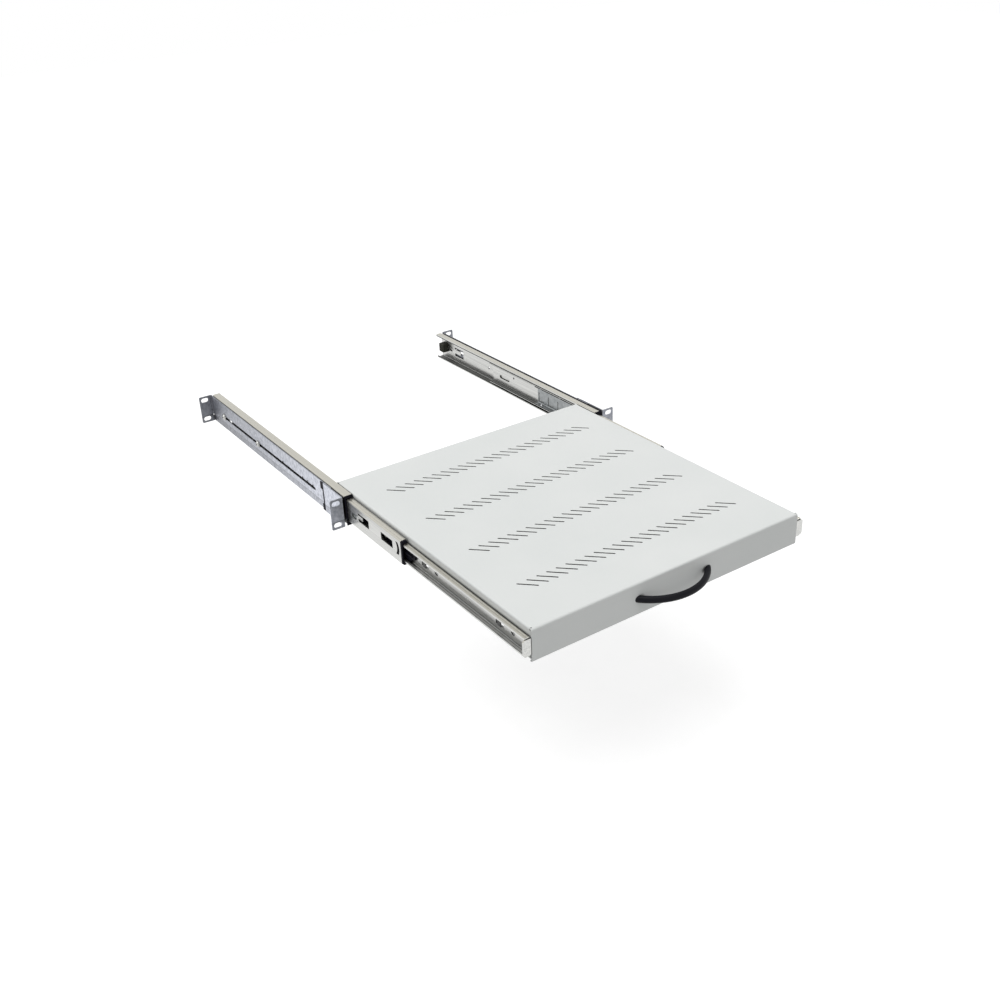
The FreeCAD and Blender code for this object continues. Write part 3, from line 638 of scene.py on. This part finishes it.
low, high = corners_of("clamp_washers")
WASHER_RADIUS = 5.5 * MM
WASHER_THICK = 0.8 * MM
work = bmesh.new()
for side in (-1.0, 1.0):
    for y in (low.y + WASHER_RADIUS, high.y - WASHER_RADIUS):
        ring = bmesh.new()
        inner, outer, soft = 2.2 * MM, WASHER_RADIUS, 0.2 * MM
        turned(ring, [(inner, 0.0), (outer - soft, 0.0), (outer, soft),
                      (outer, WASHER_THICK - soft), (outer - soft, WASHER_THICK),
                      (inner, WASHER_THICK), (inner, 0.0)])
        aim(ring, ring.verts, (side, 0.0, 0.0), (side * (high.x - WASHER_THICK), y, 0.0))
        join(work, ring)
settle("bracket_washers", work, screw_zinc, "rails", ["clamp_washers"])

low, high = corners_of("lever_pins")
work = bmesh.new()
for side in (-1.0, 1.0):
    rivet = bmesh.new()
    top = 5.0 * MM
    turned(rivet, [(0.0, 0.0), (1.5 * MM, 0.0), (1.5 * MM, top - 1.0 * MM),
                   (3.0 * MM, top - 1.0 * MM), (2.9 * MM, top - 0.5 * MM),
                   (2.2 * MM, top - 0.15 * MM), (1.1 * MM, top), (0.0, top)], steps=24)
    aim(rivet, rivet.verts, (side, 0.0, 0.0),
        (side * (high.x - top), 0.5 * (low.y + high.y), 0.5 * (low.z + high.z)))
    join(work, rivet)
settle("lever_rivets", work, screw_zinc, "drawer", ["lever_pins"])

# %% [markdown]
# ## Bearing balls
# The slides run on rows of polished balls. Icospheres are the right start,
# because their faces are even all round and three subdivisions look round at
# this size. Rows and spacing come from the box of the balls' node.


# %% Bearing balls
def ball_rows(name, body, node, per_row=4):
    """Two rows of balls in the corners of the node's box."""
    low, high = corners_of(node)
    radius = 0.5 * (high.x - low.x)
    margin = radius * math.cos(math.radians(30.0))
    x = 0.5 * (low.x + high.x)
    first, last = low.y + margin, high.y - margin
    work = bmesh.new()
    for i in range(per_row):
        y = first + (last - first) * i / (per_row - 1)
        for z in (low.z + radius, high.z - radius):
            made = bmesh.ops.create_icosphere(work, subdivisions=3, radius=radius)["verts"]
            bmesh.ops.translate(work, verts=made, vec=(x, y, z))
    settle(name, work, polish, body, [node])


for side in ("left", "right"):
    ball_rows("outer_row_" + side, "outer_balls_run_" + side, "outer_balls_" + side)
    ball_rows("inner_row_" + side, "inner_balls_run_" + side, "inner_balls_" + side)

# %% [markdown]
# ## Rear bumpers
# A rubber block closes the rear of each channel and stops the intermediate
# member softly. Its sides are ribbed, so that it can be pushed home in the
# channel. The block is cut into strips by planes, every second strip is inset
# and pushed in, and the long edges are rounded.


# %% Rear bumpers
def ribbed_block(work, low, high, ribs):
    """A rounded block with upright grooves in its front and inner faces."""
    block(work, low, high)
    size = high - low
    round_edges(work, sharp_edges(work), 1.1 * MM, segments=3)
    for i in range(1, 2 * ribs):
        x = low.x + size.x * i / (2 * ribs)
        bmesh.ops.bisect_plane(work, geom=work.verts[:] + work.edges[:] + work.faces[:],
                               plane_co=(x, 0.0, 0.0), plane_no=(1.0, 0.0, 0.0))
        y = low.y + size.y * i / (2 * ribs)
        bmesh.ops.bisect_plane(work, geom=work.verts[:] + work.edges[:] + work.faces[:],
                               plane_co=(0.0, y, 0.0), plane_no=(0.0, 1.0, 0.0))
    grooves = []
    for face in work.faces:
        middle = face.calc_center_median()
        tall = face.calc_area() > 0.5 * (size.z - 2.4 * MM) * size.x / (2 * ribs)
        across = int((middle.x - low.x) / (size.x / (2 * ribs)))
        along = int((middle.y - low.y) / (size.y / (2 * ribs)))
        if not tall or abs(face.normal.z) > 0.5:
            continue
        if abs(face.normal.y) > 0.9 and across % 2 == 1:
            grooves.append(face)
        if abs(face.normal.x) > 0.9 and along % 2 == 1:
            grooves.append(face)
    bmesh.ops.inset_individual(work, faces=grooves, thickness=0.15 * MM, depth=-0.7 * MM)


for side in ("left", "right"):
    low, high = corners_of("rear_bumper_" + side)
    work = bmesh.new()
    ribbed_block(work, low, high, 3)
    settle("ribbed_bumper_" + side, work, rubber, "rails", ["rear_bumper_" + side])

# %% [markdown]
# ## Studio
# The object hangs well above a plain pale floor, so that the floor catches only
# a faint, soft shadow. A large soft light overhead gives the bright top, a weak
# one in front keeps the front lip a middle grey, and the white surroundings are
# what the metal mirrors. Camera and mirror rays see the surroundings at full
# white, while the light that they give to the object stays lower.


# %% Floor
def pale_floor():
    """A large plain floor that shows white where nothing shades it."""
    work = bmesh.new()
    bmesh.ops.create_grid(work, x_segments=1, y_segments=1, size=7.0)
    bmesh.ops.translate(work, verts=work.verts, vec=(0.0, 0.0, cad_bounds[0][2] - 0.25))
    mesh = bpy.data.meshes.new("floor")
    work.to_mesh(mesh)
    work.free()
    floor = bpy.data.objects.new("floor", mesh)
    bpy.context.scene.collection.objects.link(floor)
    return floor


floor = pale_floor()
floor_white, tree, shader = new_finish("floor_white", (0.4, 0.4, 0.4), 0.9, 0.0)
shader.inputs["Specular IOR Level"].default_value = 0.0
tint(tree, shader, noise(tree, 30.0), (0.39, 0.39, 0.39), (0.41, 0.41, 0.41))
path = tree.nodes.new("ShaderNodeLightPath")
seen = tree.nodes.new("ShaderNodeMath")
seen.operation = "MAXIMUM"
tree.links.new(path.outputs["Is Camera Ray"], seen.inputs[0])
tree.links.new(path.outputs["Is Glossy Ray"], seen.inputs[1])
lift = tree.nodes.new("ShaderNodeMath")
lift.operation = "MULTIPLY"
lift.inputs[1].default_value = 0.76
tree.links.new(seen.outputs[0], lift.inputs[0])
shader.inputs["Emission Color"].default_value = (1.0, 1.0, 1.0, 1.0)
tree.links.new(lift.outputs[0], shader.inputs["Emission Strength"])
floor.data.materials.append(floor_white)

# %% [markdown]
# ## Surroundings
# The metal needs something white to mirror, and the object needs a weak, even
# light from all sides. One world does both: camera, mirror and transmission
# rays see it at full white, and all other rays get less than half of that.

# %% Surroundings
world = bpy.data.worlds.new("surroundings")
bpy.context.scene.world = world
world.use_nodes = True
tree = world.node_tree
sky = tree.nodes["Background"]
sky.inputs["Color"].default_value = (1.0, 1.0, 1.0, 1.0)
path = tree.nodes.new("ShaderNodeLightPath")
seen = tree.nodes.new("ShaderNodeMath")
seen.operation = "MAXIMUM"
tree.links.new(path.outputs["Is Camera Ray"], seen.inputs[0])
tree.links.new(path.outputs["Is Glossy Ray"], seen.inputs[1])
clear = tree.nodes.new("ShaderNodeMath")
clear.operation = "MAXIMUM"
tree.links.new(seen.outputs[0], clear.inputs[0])
tree.links.new(path.outputs["Is Transmission Ray"], clear.inputs[1])
strength = tree.nodes.new("ShaderNodeMapRange")
strength.inputs["To Min"].default_value = 0.4
strength.inputs["To Max"].default_value = 1.0
tree.links.new(clear.outputs[0], strength.inputs["Value"])
tree.links.new(strength.outputs["Result"], sky.inputs["Strength"])


# %% [markdown]
# ## Lights
# A very wide sun stands for a large soft box overhead, and its light stays even
# over the whole length of the rails. A small area light in front keeps the
# front lip from going dark.


# %% Lights
def soft_light(name, size, power, place, target):
    """A square area light that looks at a target."""
    data = bpy.data.lights.new(name, "AREA")
    data.size = size
    data.energy = power
    lamp = bpy.data.objects.new(name, data)
    lamp.location = place
    towards = Vector(target) - Vector(place)
    lamp.rotation_euler = towards.to_track_quat("-Z", "Y").to_euler()
    bpy.context.scene.collection.objects.link(lamp)
    return lamp


sun_data = bpy.data.lights.new("overhead", "SUN")
sun_data.angle = math.radians(60.0)
sun_data.energy = 2.12
sun = bpy.data.objects.new("overhead", sun_data)
sun.rotation_euler = Vector((0.25, -0.1, -1.0)).to_track_quat("-Z", "Y").to_euler()
bpy.context.scene.collection.objects.link(sun)
soft_light("front_fill", 2.0, 10.0, (-0.3, -3.0, 1.0), (0.0, -0.2, 0.0))

# %% [markdown]
# ## Camera
# The camera looks down on the drawer from the front left corner. Its direction
# is given as a turn, a rise and a slight roll, which are easier to adjust than
# three mixed angles.

# %% Camera
CAMERA_PLACE = Vector((-0.8087, -1.2697, 0.7444))
TURN, RISE, ROLL = (math.radians(a) for a in (-33.426, 28.08, -2.7))
back = Vector((math.sin(TURN) * math.cos(RISE), -math.cos(TURN) * math.cos(RISE), math.sin(RISE)))
right = (-back).cross(Vector((0.0, 0.0, 1.0))).normalized()
up = right.cross(-back)
rolled_right = right * math.cos(ROLL) + up * math.sin(ROLL)
rolled_up = up * math.cos(ROLL) - right * math.sin(ROLL)
camera_data = bpy.data.cameras.new("camera")
camera_data.lens = 42.303
camera_data.sensor_width = 36.0
camera_data.clip_start = 0.01
camera = bpy.data.objects.new("camera", camera_data)
axes = Matrix((rolled_right, rolled_up, back)).transposed()
camera.matrix_world = Matrix.Translation(CAMERA_PLACE) @ axes.to_4x4()
bpy.context.scene.collection.objects.link(camera)
bpy.context.scene.camera = camera
bpy.context.scene.view_settings.view_transform = "Standard"
